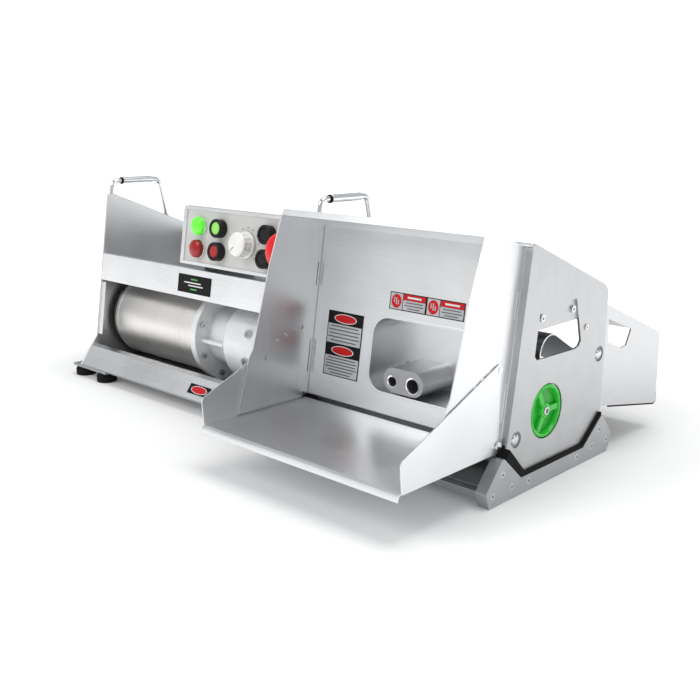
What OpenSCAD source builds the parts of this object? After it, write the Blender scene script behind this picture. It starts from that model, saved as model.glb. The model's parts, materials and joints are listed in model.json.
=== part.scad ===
// Bench-top powered roller machine: a drive unit on the left turns the rollers of a
// feed head on the right.  X runs along the machine, -Y is the front, Z is up.

/* [Drive unit] */
// Outer face of the left side plate, along X
drive_left = -443; // [-460:1:-420]
// Outer face of the right side plate, along X
drive_right = 99.5; // [99:0.5:100]
// Thickness of the side plates
plate = 3; // [2:0.5:4]
// Thickness of the folded sheets
sheet = 2; // [1.5:0.5:2]
// How far the front faces lean back, degrees
lean = 9; // [8:0.5:10]
// Radius of the motor drum
drum_r = 74; // [68:1:74]
// Radius of the gearbox flange
flange_r = 80; // [76:1:82]
// Diameter of the rod that the grab handles are bent from
handle_d = 9; // [8:1:11]

/* [Controls] */
// Outer radius of the pushbutton bezels
bezel_r = 15; // [14:0.5:16]
// Travel of the pushbuttons
button_travel = 3; // [2:0.5:4]
// Radius of the emergency stop mushroom
mushroom_r = 28; // [20:1:28]
// Radius of the speed knob
knob_r = 22; // [18:1:23]

/* [Feed head] */
// Outer face of the head's left side plate, along X
head_left = 103; // [103:0.5:104]
// Outer face of the head's right side plate, along X
head_right = 462; // [461:0.5:463]
// Radius of the feed rollers
roller_r = 20; // [18:0.5:20]
// Gap between the feed rollers
nip = 0.4; // [0.4:0.2:1]
// Radius of the large feed port
port_large_r = 10; // [8:0.5:11]
// Radius of the small feed port
port_small_r = 7; // [5:0.5:8]
// Radius of the hand wheel in the right side plate
wheel_r = 36.5; // [34:0.5:37]

/* [Tray] */
// Number of index holes for the tilting tray
index_count = 6; // [4:1:7]
// Angle between two index holes, degrees
index_step = 9.7; // [8:0.1:10]

/* [Hidden] */
$fn = 48;
eps = 0.01;

// The shaft line shared by motor, gearbox, lower roller and hand wheel
axis_y = -16;
axis_z = 97;
roller_pitch = 2 * roller_r + nip;
upper_z = axis_z + roller_pitch;
port_z = axis_z + roller_r + nip / 2;

// Front planes: a point of each, from which they lean back
drive_front_y = -120.5;
knee_z = 70;
head_front_y = -104.5;
head_foot_z = 67.5;

// Drive unit side outline: lip corner, knee, roof and back
base_z = 20.5;
drive_back_y = 129.5;
drive_top_z = 328.5;
drive_outline = [[-159, base_z], [drive_front_y, knee_z], [-79.6, drive_top_z], [-66.5, drive_top_z],
                 [121, 251.6], [drive_back_y, 243], [drive_back_y, base_z]];
drive_in_l = drive_left + plate;
drive_in_r = drive_right - plate;
drive_w = drive_in_r - drive_in_l;
flange_w = 12;
lip_top_z = 53.5;
cross_low = 173.8;
cross_high = 221.8;
deck_z = 186;

// Control box
box_left = -209.7;
box_right = 93;
box_low = 229;
box_high = 323;
box_border = 8;
face_w = -2;
row_high = 292.8;
row_low = 256.2;
pilot_x = -164.2;
push_x = -111.6;
knob_x = -47.3;
black_x = 4.5;
stop_x = 68;
mid_z = 273;
push_places = [[push_x, row_high], [push_x, row_low], [black_x, row_high], [black_x, row_low]];
pilot_places = [[pilot_x, row_high], [pilot_x, row_low]];
mount_hole_r = 11.2;
cap_r = 9.8;
bezel_bore = 10.2;
bezel_len = 14;
stem_r = 4;
stop_stem_r = 6;
block_face = -31 - button_travel;
inlet_x = 62;

// Handle line in the YZ plane
handle_path = [[-70, 324], [-65.2, 351.4], [32.9, 350.4], [49.5, 277]];
handle_r = handle_d / 2;
handle_bend = 12;
rod_lap = 0.5;
rod_swell = 0.06;
handle_x = [drive_left + plate / 2, drive_right - plate / 2];
grip_y0 = -46;
grip_y1 = 18;

// Motor and gearbox, along X
drum_x0 = -425;
drum_x1 = -228;
flange_x = -189;
flange_t = 13;
case_x0 = -122;
case_x1 = -24;
case_r = 70;
cavity_r = 60;
wall = 8;
shaft_r = 7;
rotor_shaft_r = 8.5;
lay_shaft_r = 5;
tooth_m = 1.25;
lay_z = axis_z + 24 * tooth_m;
gear1_x = -105;
gear2_x = -82;
gear_w = 11;
bolt_circle = 69;

// Coupling
coupling_r = 20;
coupling_x = 52;
hub_len = 24;
spider_len = 8;
plate_hole_r = 30;

// Head side outline
head_outline = [[head_front_y, head_foot_z], [-66.5, 27.5], [76.2, 27.5], [127.5, 67.2], [129.5, 237.5],
                [121, 246.5], [-60, 320.5], [head_y(318), 318]];
head_in_l = head_left + plate;
head_in_r = head_right - plate;
head_w = head_in_r - head_in_l;
head_flange = 9.6;

// Opening and pocket in the head's front
pocket_x = [222.5, 390];
pocket_z = [98, 199.2];
pocket_round = 25;
pocket_wall = 1.5;
pocket_back = -38.5;
block_x = [255.5, 325];
block_z = [102, 137];
block_front = -104;
port_large_x = 307;
port_small_x = 271;
roller_x0 = 222;
roller_x1 = 396;
frame_x = [207, 402];
frame_t = 6;
roller_shaft_r = 6;
shaft_play = 0.05;
bearing_r = 14;
roller_teeth = 20;
roller_gear_x = 412;
wheel_t = 12;

// Hand hole in the right side plate
hand_hole = [[-41.5, 239], [45.5, 237.6], [62, 178], [57, 171], [47, 168.5], [-45, 170.5], [-50.5, 176]];
cover_low = 208;
bolt_places = [[-85, 74.5], [114, 149.5]];
bolt_hole_r = 11;
cup_r = bolt_hole_r + 1;

// Hood and tray
hood_left = 103;
hood_right = 451.4;
hood_t = 1.8;
hood_line = [[-144.2, 344.4], [-149.5, 336.2], [-175.9, 265.9], [-209, 153.1], [-217, 141.6],
             [-239.5, 66]];
hood_back = [[head_y(66), 66], [head_y(315), 315]];
tray_left = 100.5;
tray_right = 453.8;
tray_t = 1.8;
tray_floor = 61.5;
tray_front = -303;
tray_side = [[-297, tray_floor], [-299.8, 96], [-296.4, 102], [-115, 177.6], [-111.8, 175],
             [-111.8, tray_floor]];
pivot = [-114, 72];
index_r = 97.5;
pin_r = 3;
pin_play = 0.05;

// Discharge chute behind the head
chute_top = [[129.27, 217.4], [299.8, 149.3]];
chute_low = [[127.55, 70.6], [295.4, 37.4]];
chute_end = [301.5, 39.8];
chute_hand = [[136, 195.4], [204.2, 169.9], [192.2, 147.8], [177.4, 146.4], [137.8, 162.2]];

// Cradle under the head
skid_t = 17;
skid_outline = [[-145.7, 0], [-152.9, 19.4], [-151.9, 23], [-121.4, 57.6], [-117, 58.6], [-112.6, 55.2],
                [-76.6, 22.6], [77.3, 22.6], [122, 57.2], [125.5, 58.8], [129, 57], [154.3, 25.9],
                [153.5, 17], [144.7, 0]];
skid_right = 467;
skid_bolts = [[-117.8, 37.9], [-96.7, 15.8], [-138, 14.9], [-57.8, 13], [62.2, 13], [102.5, 18.2],
              [119.8, 39.1], [142.3, 18.2]];
liner_outline = [[-112.6, 55.2], [-76.6, 22.6], [77.3, 22.6], [122, 57.2], [123.6, 64.1], [76.2, 27.5],
                 [-66.5, 27.5], [-104.5, 67.5]];

// Feet
foot_r = 18;
feet = [[-377, -145], [-449, -143], [-449, 108], [-377, 108], [60, -100], [60, 108]];
arm_y = [-60, 40];

// ---------- helpers ----------

// A YZ outline made into a plate that starts at x0
module side(x0, t) {
    translate([x0, 0, 0]) rotate([90, 0, 90]) linear_extrude(t) children();
}

// A round bar along X
module bar_x(y, z, r, x0, x1) {
    translate([x0, y, z]) rotate([0, 90, 0]) cylinder(r = r, h = x1 - x0);
}

// A round bar along Y
module bar_y(x, z, r, y0, y1) {
    translate([x, y0, z]) rotate([-90, 0, 0]) cylinder(r = r, h = y1 - y0);
}

// Local frame of the drive unit's front: X, up the face, out of the face
module drive_face() {
    translate([0, drive_front_y, knee_z]) rotate([90 - lean, 0, 0]) children();
}

// Local frame of the head's front
module head_face() {
    translate([0, head_front_y, head_foot_z]) rotate([90 - lean, 0, 0]) children();
}

// Distance up the drive face and up the head face of a height z
function dv(z) = (z - knee_z) / cos(lean);
function hv(z) = (z - head_foot_z) / cos(lean);

// Y of the drive unit's and the head's front planes at a height z
function drive_y(z) = drive_front_y + (z - knee_z) * tan(lean);
function head_y(z) = head_front_y + (z - head_foot_z) * tan(lean);

module slab(x0, x1, y0, y1, z0, z1) {
    translate([x0, y0, z0]) cube([x1 - x0, y1 - y0, z1 - z0]);
}

// Flat rectangle with round corners
module round_rect(x0, y0, x1, y1, r) {
    translate([x0 + r, y0]) square([x1 - x0 - 2 * r, y1 - y0]);
    translate([x0, y0 + r]) square([x1 - x0, y1 - y0 - 2 * r]);
    for (x = [x0 + r, x1 - r], y = [y0 + r, y1 - r]) translate([x, y]) circle(r);
}

// Hexagon socket screw head with a short shank, axis along +Z, head outwards
module socket_head(r, h) {
    difference() {
        cylinder(r = r, h = h);
        translate([0, 0, h * 0.45]) cylinder(r = r * 0.5, h = h, $fn = 6);
    }
}

// Gear outline, one tooth centred at the angle phase
function gear_points(n, m, phase) = let (p = n * m / 2)
    [for (i = [0 : n - 1]) for (c = [[-0.3, -1.15], [-0.12, 0.8], [0.12, 0.8], [0.3, -1.15]])
        let (a = phase + (i + c[0]) * 360 / n, r = p + c[1] * m) [r * cos(a), r * sin(a)]];

module gear(n, m, phase, y, z, x0, w, bore) {
    translate([x0, y, z]) rotate([90, 0, 90]) linear_extrude(w) difference() {
        polygon(gear_points(n, m, phase));
        if (bore > 0) circle(bore);
    }
}

// Ball bearing: outer and inner ring with a shield between them
module bearing(y, z, x0, len, outer, inner) {
    difference() {
        bar_x(y, z, outer, x0, x0 + len);
        bar_x(y, z, inner + shaft_play, x0 - 1, x0 + len + 1);
        for (x = [x0 - eps, x0 + len - 0.6])
            difference() {
                bar_x(y, z, outer - 2, x, x + 0.6 + eps);
                bar_x(y, z, inner + 2.6, x - 1, x + 2);
            }
    }
}

// ---------- drive unit ----------

module drive_left_side() {
    color("gainsboro") {
        side(drive_left, plate) polygon(drive_outline);
        drive_face() translate([drive_in_l - 1, 4, -sheet - 2])
            cube([flange_w + 1, dv(cross_low) - 8, sheet]);
    }
}

module drive_right_side() {
    color("gainsboro") difference() {
        side(drive_in_r, plate) polygon(drive_outline);
        bar_x(axis_y, axis_z, plate_hole_r, drive_in_r - 1, drive_right + 1);
    }
}

module cross_panel() {
    color("whitesmoke") {
        drive_face() translate([drive_in_l, dv(cross_low), -sheet])
            cube([drive_w, dv(cross_high) - dv(cross_low), sheet]);
        drive_face() translate([drive_in_l, dv(cross_high) - sheet, -sheet - 14])
            cube([drive_w, sheet, 14]);
        drive_face() translate([drive_in_l, dv(cross_low), -sheet - 10])
            cube([drive_w, sheet, 10]);
    }
}

module lip_panel() {
    color("whitesmoke") side(drive_in_l, drive_w)
        polygon([[-154.9, base_z + sheet], [-157.4, base_z + sheet], [-133.4, lip_top_z],
                 [-118, lip_top_z], [-118, lip_top_z - sheet], [-132.4, lip_top_z - sheet]]);
}

module base_floor() {
    color("silver") {
        difference() {
            slab(drive_in_l, drive_in_r, -158, drive_back_y - sheet, base_z, base_z + sheet);
            slab(flange_x - 2, flange_x + flange_t + 2, axis_y - 36, axis_y + 36, 0, base_z + 5);
        }
        for (y = [feet[1][1], feet[2][1]]) slab(-466, -360, y - 16, y + 16, base_z - 4, base_z);
    }
}

module rear_panel() {
    color("gainsboro") difference() {
        slab(drive_in_l, drive_in_r, drive_back_y - sheet, drive_back_y, base_z + sheet, 243);
        for (i = [0 : 11]) slab(-400 + i * 16, -394 + i * 16, drive_back_y - 5, drive_back_y + 1, 60, 130);
        bar_y(inlet_x, 70, 12.5, drive_back_y - 5, drive_back_y + 1);
    }
}

// Deck over the motor, with two uprights that carry the control box
module bay_deck() {
    color("darkgray") {
        slab(drive_in_l, drive_in_r, -99, drive_back_y - sheet, deck_z, deck_z + sheet);
        for (x = [box_left + 20, box_right - 24]) slab(x, x + 4, -60, 50, deck_z + sheet - eps, box_low);
    }
}

module speed_drive() {
    color("dimgray") {
        slab(-80, 30, 86, drive_back_y - sheet, 40, 165);
        for (i = [0 : 8]) slab(-74 + i * 12, -70 + i * 12, 78, 86, 48, 157);
    }
}

module power_inlet() {
    color("black") {
        difference() {
            union() {
                bar_y(inlet_x, 70, 12.3, 112, drive_back_y);
                bar_y(inlet_x, 70, 16, drive_back_y, drive_back_y + 8);
            }
            bar_y(inlet_x, 70, 5, 110, drive_back_y + 9);
        }
    }
}

// Side outline of the control box, drawn in by g all round; its top follows the roof slope
function box_outline(g) = [[drive_y(box_low + g) + g, box_low + g], [drive_y(box_high - g) + g, box_high - g],
                           [-68, box_high - g], [60 - g, 270.6 - 0.59 * g], [60 - g, box_low + g]];

module control_box() {
    color("whitesmoke") difference() {
        side(box_left, box_right - box_left) polygon(box_outline(0));
        side(box_left + sheet, box_right - box_left - 2 * sheet) polygon(box_outline(sheet));
        drive_face() translate([box_left + box_border, dv(box_low) + 5, -20])
            cube([box_right - box_left - 2 * box_border, dv(box_high) - dv(box_low) - 10, 30]);
        bar_x(30, 245, 9, box_right - 5, box_right + 1);
    }
}

module control_face() {
    color("lightgray") difference() {
        drive_face() translate([box_left + 3, dv(box_low) + 3, face_w - 2.2])
            cube([box_right - box_left - 6, dv(box_high) - dv(box_low) - 6, 2]);
        drive_face() {
            for (p = concat(push_places, pilot_places, [[stop_x, mid_z]]))
                translate([p[0], dv(p[1]), -10]) cylinder(r = mount_hole_r, h = 20);
            translate([knob_x, dv(mid_z), -10]) cylinder(r = 5, h = 20);
        }
    }
}

// A pilot light: threaded body behind the face, lens bezel and lens in front
module pilot_light(p, lens) {
    drive_face() translate([p[0], dv(p[1]), 0]) {
        color("silver") {
            translate([0, 0, -24]) cylinder(r = mount_hole_r - 0.2, h = 24 + face_w);
            translate([0, 0, face_w - 0.2]) cylinder(r = bezel_r, h = 3);
        }
        color(lens) {
            translate([0, 0, face_w + 2.8]) cylinder(r = bezel_r - 1, h = 5);
            translate([0, 0, face_w + 7.8]) intersection() {
                translate([0, 0, -21]) sphere(r = 25.2);
                cylinder(r = bezel_r - 1, h = 8);
            }
        }
    }
}

module pilot_lights() {
    pilot_light(pilot_places[0], "limegreen");
    pilot_light(pilot_places[1], "firebrick");
}

// Fixed front parts: four bezels, and the collar of the emergency stop
module button_bezels() {
    color("black") drive_face() {
        for (p = push_places) translate([p[0], dv(p[1]), 0]) difference() {
            union() {
                translate([0, 0, face_w - 0.2]) cylinder(r = bezel_r, h = bezel_len);
                translate([0, 0, -26]) cylinder(r = mount_hole_r - 0.2, h = 26 + face_w);
            }
            translate([0, 0, -3 - button_travel]) cylinder(r = bezel_bore, h = bezel_len + 20);
            translate([0, 0, -30]) cylinder(r = stem_r + 0.4, h = 40);
        }
        translate([stop_x, dv(mid_z), 0]) difference() {
            union() {
                translate([0, 0, -26]) cylinder(r = mount_hole_r - 0.2, h = 26 + face_w);
                translate([0, 0, face_w - 0.2]) cylinder(r = 16.5, h = 12);
            }
            translate([0, 0, -30]) cylinder(r = stop_stem_r + 0.4, h = 60);
        }
    }
}

// A moving pushbutton cap with the stem that reaches its contact block
module button_cap(p, tint) {
    color(tint) drive_face() translate([p[0], dv(p[1]), 0]) {
        translate([0, 0, -2]) cylinder(r = cap_r, h = bezel_len - 1.2);
        translate([0, 0, -30]) cylinder(r = stem_r, h = 28 + eps);
    }
}

module green_button() {
    button_cap(push_places[0], "limegreen");
}

module red_button() {
    button_cap(push_places[1], "firebrick");
}

module upper_black_button() {
    button_cap(push_places[2], "dimgray");
}

module lower_black_button() {
    button_cap(push_places[3], "dimgray");
}

module stop_mushroom() {
    color("red") drive_face() translate([stop_x, dv(mid_z), 0]) {
        translate([0, 0, -28]) cylinder(r = stop_stem_r, h = 52);
        translate([0, 0, 22]) rotate_extrude()
            polygon([[0, 0], [17, 0], [mushroom_r - 2, 6], [mushroom_r, 11], [mushroom_r - 2, 16.5],
                     [mushroom_r - 9, 20], [0, 22]]);
    }
}

// Switch blocks behind the buttons, and the speed potentiometer
module contact_blocks() {
    color("darkslategray") drive_face() {
        for (p = concat(push_places, [[stop_x, mid_z]]))
            translate([p[0] - 10, dv(p[1]) - 12, block_face - 26]) cube([20, 24, 26]);
        translate([knob_x, dv(mid_z), 0]) difference() {
            translate([0, 0, -44]) cylinder(r = 12, h = 39.8);
            translate([0, 0, -25]) cylinder(r = 3.4, h = 40);
        }
    }
}

module speed_knob() {
    color("white") drive_face() translate([knob_x, dv(mid_z), 0]) {
        difference() {
            union() {
                translate([0, 0, face_w + 0.4]) cylinder(r = knob_r, h = 6);
                translate([0, 0, face_w + 6.4]) cylinder(r1 = knob_r - 2, r2 = knob_r - 3.5, h = 17);
            }
            for (a = [0 : 30 : 330]) rotate([0, 0, a + 15]) translate([knob_r + 1, 0, face_w + 8])
                cylinder(r = 3.4, h = 20);
            rotate([0, 0, 225]) translate([4, -0.8, face_w + 22.6]) cube([20, 1.6, 3]);
        }
        translate([0, 0, -20]) cylinder(r = 3, h = 20 + eps);
    }
}

// Thin plates and stickers: badge, lip, feed and warning positions
module labels() {
    color("black") drive_face()
        translate([-208.6, dv(181.9), 0]) cube([85.5, dv(211.7) - dv(181.9), 1.2]);
    color("firebrick") {
        side(-130.3, 52.3) polygon([[-151.75, 29.8], [-140.99, 43.7], [-141.46, 44.07], [-152.22, 30.17]]);
        head_face() translate([132.2, hv(102), 0]) cube([68.7, hv(195.4) - hv(102), 0.5]);
        head_face() translate([245, hv(212.5), 0]) cube([127.9, hv(236.5) - hv(212.5), 0.5]);
    }
}

// Direction of travel between two points, and the length that a bend takes off each side
function heading(a, b) = atan2(b[1] - a[1], b[0] - a[0]);
function turn(path, i) = heading(path[i - 1], path[i]) - heading(path[i], path[i + 1]);
function trim(path, i) = i == 0 || i == len(path) - 1 ? 0 : handle_bend * tan(turn(path, i) / 2);
function along(a, d) = d * [cos(a), sin(a)];

// Round rod at one X along YZ points, bent at every corner; all corners turn the same way.
// The bends are a hair thicker than the straights and take their ends in.
module bent_rod(path, x, r) {
    for (i = [0 : len(path) - 2])
        let (a = heading(path[i], path[i + 1]), p = path[i] + along(a, trim(path, i) - rod_lap),
             len = norm(path[i + 1] - path[i]) - trim(path, i) - trim(path, i + 1) + 2 * rod_lap)
            translate([x, p[0], p[1]]) rotate([a - 90, 0, 0]) cylinder(r = r, h = len);
    for (i = [1 : len(path) - 2])
        let (a = heading(path[i - 1], path[i]),
             c = path[i] - along(a, trim(path, i)) + along(a - 90, handle_bend))
            translate([x, c[0], c[1]]) rotate([90, 0, 90]) rotate([0, 0, a + 90 - turn(path, i)])
                rotate_extrude(angle = turn(path, i)) translate([handle_bend, 0]) circle(r + rod_swell);
}

// Both handles stand on the roof edges of the side plates
module grab_handles() {
    color("silver") difference() {
        for (x = handle_x) bent_rod(handle_path, x, handle_r);
        side(drive_left - 10, drive_right - drive_left + 20) polygon(drive_outline);
    }
}

module handle_grips() {
    color("whitesmoke") for (x = handle_x) {
        a = heading(handle_path[1], handle_path[2]);
        translate([x, grip_y0, handle_path[1][1] + tan(a) * (grip_y0 - handle_path[1][0])])
            rotate([a - 90, 0, 0]) difference() {
                cylinder(r = handle_r + 1.6, h = grip_y1 - grip_y0);
                translate([0, 0, -1]) cylinder(r = handle_r, h = grip_y1 - grip_y0 + 2);
            }
    }
}

module rubber_feet() {
    color("black") for (i = [0 : len(feet) - 1]) {
        top = i < 4 ? base_z - 4 : base_z;
        translate([feet[i][0], feet[i][1], 0]) {
            cylinder(r = foot_r, h = top - 5);
            translate([0, 0, top - 5]) cylinder(r = foot_r - 2, h = 5);
        }
    }
}

// ---------- motor and gearbox ----------

module motor_shell() {
    color("silver") difference() {
        union() {
            bar_x(axis_y, axis_z, drum_r - 0.8, drum_x0, drum_x1);
            bar_x(axis_y, axis_z, drum_r, drum_x1, flange_x);
        }
        bar_x(axis_y, axis_z, drum_r - 4, drum_x0 - 1, flange_x + 1);
    }
}

module motor_end_bell() {
    color("gray") difference() {
        union() {
            bar_x(axis_y, axis_z, drum_r, drum_x0 - 5, drum_x0);
            bar_x(axis_y, axis_z, drum_r - 4, drum_x0, drum_x0 + 14);
        }
        bar_x(axis_y, axis_z, 20, drum_x0 + 3, drum_x0 + 15);
    }
}

module motor_stator() {
    color("peru") difference() {
        bar_x(axis_y, axis_z, drum_r - 4, -375, -255);
        bar_x(axis_y, axis_z, 42, -376, -254);
    }
}

module motor_rotor() {
    color("darkgray") {
        bar_x(axis_y, axis_z, rotor_shaft_r, drum_x0 + 4, gear1_x - 7);
        bar_x(axis_y, axis_z, 41.3, -372, -258);
        bar_x(axis_y, axis_z, lay_shaft_r, gear1_x - 8, gear1_x + gear_w);
        gear(12, tooth_m, 90, axis_y, axis_z, gear1_x - 1, gear_w + 1, lay_shaft_r - eps);
    }
}

module gearbox_flange() {
    color("white") difference() {
        union() {
            bar_x(axis_y, axis_z, flange_r, flange_x, flange_x + flange_t);
            bar_x(axis_y, axis_z, 52, flange_x + flange_t, case_x0);
            slab(flange_x + flange_t, case_x0, axis_y - 66, axis_y + 66, axis_z - 3, axis_z + 3);
            slab(flange_x + flange_t, case_x0, axis_y - 3, axis_y + 3, axis_z - 66, axis_z + 66);
        }
        bar_x(axis_y, axis_z, 20, flange_x - 1, flange_x + 12);
        bar_x(axis_y, axis_z, 16, flange_x + 11, flange_x + flange_t + 1);
        bar_x(axis_y, axis_z, 44, flange_x + flange_t, case_x0 + 1);
    }
}

module gearbox_housing() {
    color("white") difference() {
        union() {
            translate([case_x0, axis_y, axis_z]) rotate([0, 90, 0]) rotate_extrude()
                polygon([[0, 0], [case_r - 9, 0], [case_r - 3, 3], [case_r, 10], [case_r, 78],
                         [case_r - 4, 90], [case_r - 14, 98], [34, 100], [32, 122], [0, 122]]);
            slab(-112, -34, axis_y - 46, axis_y + 46, base_z + sheet, axis_z - 40);
        }
        bar_x(axis_y, axis_z, cavity_r, case_x0 + wall, case_x1 - wall);
        bar_x(axis_y, axis_z, 14, case_x0 - 1, case_x0 + wall + 1);
        bar_x(axis_y, axis_z, 18, -4, 1);
        bar_x(axis_y, axis_z, 12, case_x1 - wall - 1, -3);
    }
}

// Oil plugs round the housing, each at its X and its angle above the front, and the flange screws
module gearbox_screws() {
    color("silver") {
        for (p = [[-55, 25], [-59, -12], [-41, 68]])
            translate([p[0], axis_y, axis_z]) rotate([90 - p[1], 0, 0])
                translate([0, 0, case_r]) socket_head(7, 4);
        for (i = [0 : 7]) let (a = 22.5 + i * 45)
            translate([flange_x + flange_t, axis_y + bolt_circle * cos(a), axis_z + bolt_circle * sin(a)])
                rotate([0, 90, 0]) socket_head(5, 5);
    }
}

module layshaft() {
    color("dimgray") {
        bar_x(axis_y, lay_z, lay_shaft_r, case_x0 + wall + 0.5, case_x1 - wall - 0.5);
        gear(36, tooth_m, -90 + 180 / 36, axis_y, lay_z, gear1_x, gear_w, lay_shaft_r - eps);
        gear(12, tooth_m, -90 + 180 / 12, axis_y, lay_z, gear2_x, gear_w, lay_shaft_r - eps);
    }
}

module output_shaft() {
    color("silver") {
        bar_x(axis_y, axis_z, shaft_r, gear2_x - 6, coupling_x + hub_len - 4);
        gear(36, tooth_m, 90, axis_y, axis_z, gear2_x, gear_w, shaft_r - eps);
    }
}

// Every ball bearing: motor, output, layshaft and rollers
module bearings() {
    color("darkgray") {
        for (x = [drum_x0 + 3, flange_x]) bearing(axis_y, axis_z, x, 11, 20, rotor_shaft_r);
        bearing(axis_y, axis_z, -4, 4, 18, shaft_r);
        for (x = [case_x0 + wall, case_x1 - wall - 5]) bearing(axis_y, lay_z, x, 5, 13, lay_shaft_r);
        for (x = frame_x, z = [axis_z, upper_z]) bearing(axis_y, z, x - 1, 8, bearing_r, roller_shaft_r);
    }
}

// One hub of the jaw coupling: a collar with three jaws
module jaw_hub(x0, dir, bore) {
    difference() {
        union() {
            bar_x(axis_y, axis_z, coupling_r, x0, x0 + hub_len);
            for (a = [0 : 120 : 240]) intersection() {
                bar_x(axis_y, axis_z, coupling_r, x0 - spider_len, x0 + hub_len + spider_len);
                translate([dir > 0 ? x0 + hub_len - eps : x0 - spider_len + eps, axis_y, axis_z])
                    rotate([a + (dir > 0 ? 0 : 60), 0, 0]) translate([0, -4, 9]) cube([spider_len, 8, 14]);
            }
        }
        bar_x(axis_y, axis_z, bore, x0 - spider_len - 1, x0 + hub_len + spider_len + 1);
    }
}

// Two jaw hubs with the elastic spider between them
module jaw_coupling() {
    color("gray") {
        jaw_hub(coupling_x, 1, shaft_r);
        jaw_hub(coupling_x + hub_len + spider_len, -1, roller_shaft_r);
    }
    color("orangered") difference() {
        bar_x(axis_y, axis_z, coupling_r - 1, coupling_x + hub_len, coupling_x + hub_len + spider_len);
        bar_x(axis_y, axis_z, 8, coupling_x, coupling_x + 80);
        for (a = [0 : 60 : 300]) translate([coupling_x + hub_len - 1, axis_y, axis_z]) rotate([a, 0, 0])
            translate([0, -4, 9]) cube([spider_len + 2, 8, 14]);
    }
}

// ---------- feed head ----------

module head_side_plate(x0) {
    difference() {
        side(x0, plate) polygon(head_outline);
        for (p = bolt_places) bar_x(p[0], p[1], bolt_hole_r, x0 - 1, x0 + plate + 1);
    }
}

module head_left_side() {
    color("silver") difference() {
        head_side_plate(head_left);
        bar_x(axis_y, axis_z, plate_hole_r, head_left - 1, head_in_l + 1);
    }
}

module head_right_side() {
    color("silver") {
        difference() {
            head_side_plate(head_in_r);
            bar_x(axis_y, axis_z, wheel_r + 0.8, head_in_r - 1, head_right + 1);
            side(head_in_r - 1, plate + 2) polygon(hand_hole);
        }
        head_face() translate([head_right - head_flange, 3, -sheet])
            cube([head_flange - plate + 1, hv(315) - 3, sheet]);
    }
}

module pocket_tube(g) {
    translate([0, pocket_back, 0]) rotate([90, 0, 0]) linear_extrude(90)
        round_rect(pocket_x[0] - g, pocket_z[0] - g, pocket_x[1] + g, pocket_z[1] + g, pocket_round + g);
}

module front_panel() {
    color("gainsboro") difference() {
        head_face() translate([head_in_l, 0, -sheet])
            cube([head_right - head_flange - head_in_l, hv(315), sheet]);
        pocket_tube(pocket_wall);
    }
}

module pocket_lining() {
    color("lightgray") difference() {
        union() {
            intersection() {
                difference() {
                    pocket_tube(pocket_wall);
                    translate([0, eps, 0]) pocket_tube(0);
                }
                head_face() translate([0, 0, -100]) cube([500, 300, 100]);
            }
            intersection() {
                difference() {
                    pocket_tube(4);
                    pocket_tube(0);
                }
                head_face() cube([500, 300, 1.2]);
            }
            translate([0, pocket_back + pocket_wall, 0]) rotate([90, 0, 0]) linear_extrude(pocket_wall)
                round_rect(pocket_x[0] - pocket_wall, pocket_z[0] - pocket_wall, pocket_x[1] + pocket_wall,
                           pocket_z[1] + pocket_wall, pocket_round + pocket_wall);
        }
        bar_y(port_large_x, port_z, port_large_r, -200, 0);
        bar_y(port_small_x, port_z, port_small_r, -200, 0);
    }
}

module guide_block() {
    color("silver") difference() {
        translate([0, pocket_back, 0]) rotate([90, 0, 0]) linear_extrude(pocket_back - block_front)
            round_rect(block_x[0], block_z[0], block_x[1], block_z[1], 17.49);
        for (p = [[port_large_x, port_large_r], [port_small_x, port_small_r]]) {
            bar_y(p[0], port_z, p[1], block_front - 1, pocket_back + 1);
            translate([p[0], block_front - eps, port_z]) rotate([-90, 0, 0])
                cylinder(r1 = p[1] + 2, r2 = p[1], h = 2);
        }
    }
}

// Roof folded down into the rear panel, with the outlet to the chute cut in it
module head_cover() {
    color("silver") difference() {
        side(head_in_l, head_w)
            polygon([[head_y(318), 318], [-60, 320.5], [121, 246.5], [129.3, 237.7], [127.5, 69],
                     [125.5, 69], [126.9, 237], [120, 244.6], [-60, 318.2], [-64.4, 316]]);
        slab(head_in_l + 20, head_in_r - 20, 120, 135, 78, 205);
    }
}

module head_floor() {
    color("silver") side(head_in_l, head_w)
        polygon([[-102, 67.1], [-104.1, 67.1], [-66.5, 27.5], [76.2, 27.5], [127.4, 67.1], [126.2, 68.6],
                 [75.5, 29.5], [-65.6, 29.5]]);
}

// Points on the curved part of the guard over the rollers, at radius r
function guard_arc(r) = [for (a = [170 : -14 : 58]) [-8 + r * cos(a), 172 + r * sin(a)]];
function reversed(list) = [for (i = [len(list) - 1 : -1 : 0]) list[i]];

module roller_guard() {
    color("whitesmoke") side(head_in_l, head_w)
        polygon(concat([[-33.6, 161]], guard_arc(26), [[118, 130], [118, 128]], reversed(guard_arc(24.4)),
                       [[-32, 161]]));
}

module roller_frame(x0) {
    difference() {
        side(x0, frame_t) polygon([[-35.4, 45], [-35.4, 158], [4, 158], [22, 120], [30, 29.5], [-20, 29.5]]);
        for (z = [axis_z, upper_z]) bar_x(axis_y, z, bearing_r, x0 - 1, x0 + frame_t + 1);
    }
}

module roller_frames() {
    color("slategray") for (x0 = frame_x) roller_frame(x0);
}

// Roller sleeve with shallow grip grooves
module roller_sleeve(z, grooves) {
    difference() {
        bar_x(axis_y, z, roller_r, roller_x0, roller_x1);
        bar_x(axis_y, z, roller_shaft_r, roller_x0 - 1, roller_x1 + 1);
        for (i = [1 : grooves]) let (x = roller_x0 + i * (roller_x1 - roller_x0) / (grooves + 1))
            difference() {
                bar_x(axis_y, z, roller_r + 1, x - 1, x + 1);
                bar_x(axis_y, z, roller_r - 1, x - 2, x + 2);
            }
    }
}

module lower_roller() {
    color("dimgray") roller_sleeve(axis_z, 11);
}

module upper_roller() {
    color("dimgray") roller_sleeve(upper_z, 11);
}

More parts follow.
